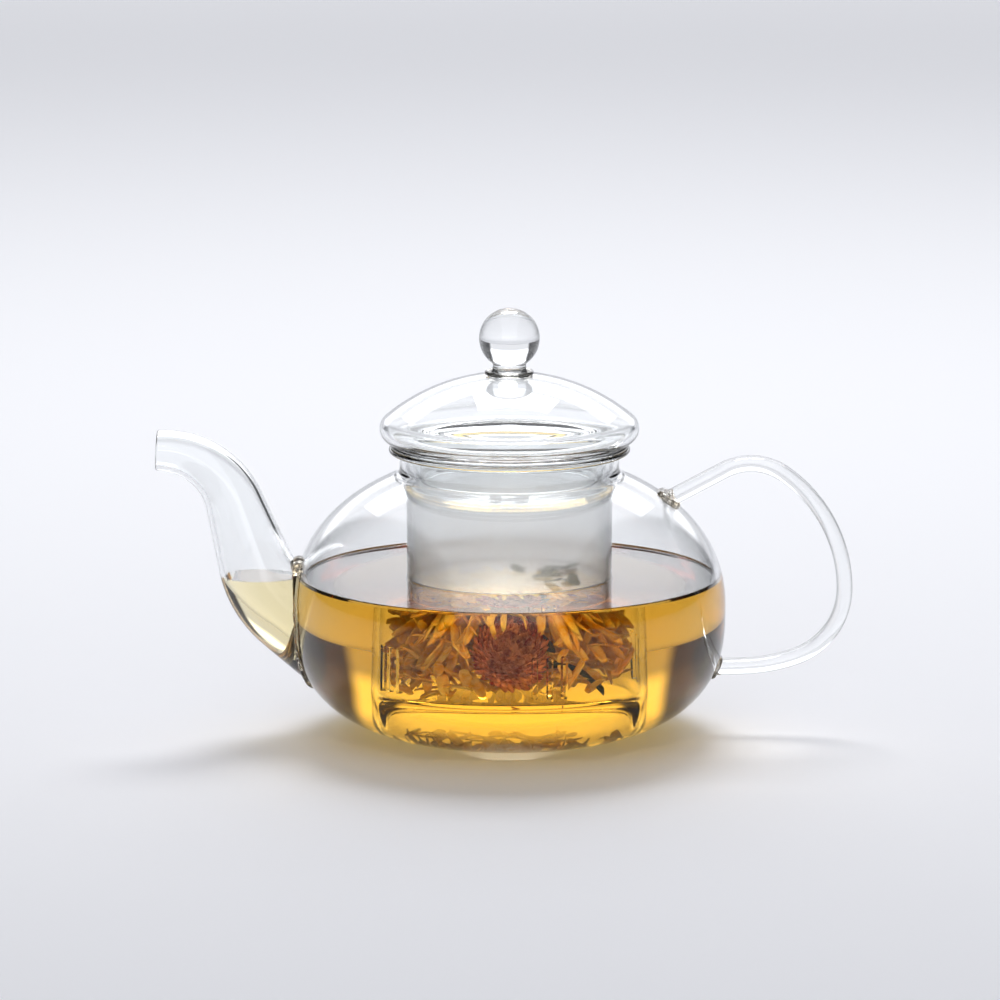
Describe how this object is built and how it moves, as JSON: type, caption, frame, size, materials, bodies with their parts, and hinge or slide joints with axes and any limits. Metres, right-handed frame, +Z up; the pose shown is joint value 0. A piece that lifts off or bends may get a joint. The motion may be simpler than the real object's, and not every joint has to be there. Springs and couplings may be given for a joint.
{
  "type": "glass teapot",
  "caption": "Clear glass teapot with a round bowl, curved spout, strap handle, lift-out slotted infuser and a hollow domed lid with a ball knob.",
  "frame": {"origin": "centre of the flat base, on the surface that the teapot stands on", "axes": "+Z up along the axis of the bowl, the infuser and the lid; the spout points to -X and the handle to +X; the plane Y=0 is the plane of symmetry of the spout and the handle"},
  "size_m": [0.206, 0.128, 0.126],
  "materials": {
    "borosilicate_glass": "polished",
    "infuser_glass": "polished",
    "fused_seam_glass": "polished"
  },
  "bodies": {
    "pot": {"bowl_base": "borosilicate_glass", "bowl_shoulder": "borosilicate_glass", "neck_collar": "borosilicate_glass", "spout": "borosilicate_glass", "spout_seal": "fused_seam_glass", "handle": "borosilicate_glass", "handle_upper_seal": "fused_seam_glass", "handle_lower_seal": "fused_seam_glass"},
    "infuser": {"infuser_tube": "infuser_glass", "infuser_lip": "infuser_glass", "infuser_floor": "infuser_glass"},
    "lid": {"lid_dome": "borosilicate_glass", "lid_skirt": "borosilicate_glass", "knob_seal": "fused_seam_glass", "lid_knob": "borosilicate_glass"}
  },
  "joints": [
    {"name": "infuser_lift", "type": "slide", "parent": "pot", "child": "infuser", "axis": [0, 0, 1], "range_m": [0, 0.09]},
    {"name": "lid_lift", "type": "slide", "parent": "infuser", "child": "lid", "axis": [0, 0, 1], "range_m": [0, 0.03]}
  ]
}
